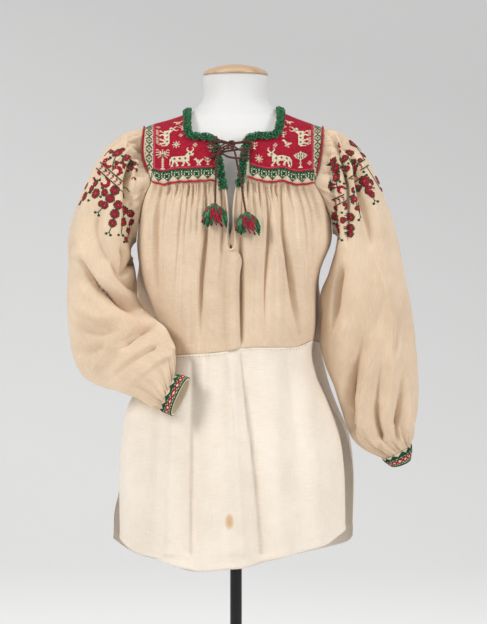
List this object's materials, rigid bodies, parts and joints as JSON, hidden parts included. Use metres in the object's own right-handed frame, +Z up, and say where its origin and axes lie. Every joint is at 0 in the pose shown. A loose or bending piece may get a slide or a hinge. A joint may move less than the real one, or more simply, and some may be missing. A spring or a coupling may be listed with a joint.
{
  "type": "blouse on a dress form",
  "caption": "Long-sleeved linen blouse with a square embroidered yoke, gathered body, laced neck slit and wool tassels, standing on a limbless dress form.",
  "frame": {"origin": "middle of the stand's base, on the surface it stands on", "axes": "+Z up along the pole, +Y from the wearer's front to the back, +X to the viewer's right when the front is seen"},
  "size_m": [0.6002, 0.3325, 1.1195],
  "materials": {
    "linen": "plain-woven tan linen, matte",
    "pale_linen": "plain-woven cream linen, matte",
    "yoke_cloth": "crimson cross-stitch",
    "band_cloth": "green, white and crimson stitched band",
    "green_wool": "looped wool",
    "red_cord": "twisted cotton cord",
    "lace_cord": "twisted dark red and green cord",
    "tassel_wool": "green and crimson wool",
    "form_cover": "smooth white jersey",
    "cap_wood": "clear satin",
    "stand_metal": "black satin"
  },
  "bodies": {
    "root": {"front_upper": "linen", "back_upper": "linen", "front_lower": "pale_linen", "back_lower": "pale_linen", "yoke_front_left": "yoke_cloth", "yoke_front_right": "yoke_cloth", "yoke_back": "yoke_cloth", "sleeve_left": "linen", "sleeve_right": "linen", "cuff_left": "band_cloth", "cuff_right": "band_cloth", "piping_front_left": "red_cord", "piping_front_right": "red_cord", "piping_back": "red_cord", "piping_armhole_left": "red_cord", "piping_armhole_right": "red_cord", "neck_edging": "green_wool", "lace_knot": "lace_cord", "lace_top_left": "lace_cord", "lace_top_right": "lace_cord", "lace_rising": "lace_cord", "lace_falling": "lace_cord", "lace_end_left": "lace_cord", "lace_end_right": "lace_cord", "tassel_left": "tassel_wool", "tassel_right": "tassel_wool", "form_torso": "form_cover", "neck_cap": "cap_wood", "pole": "stand_metal", "base": "stand_metal"}
  },
  "joints": []
}
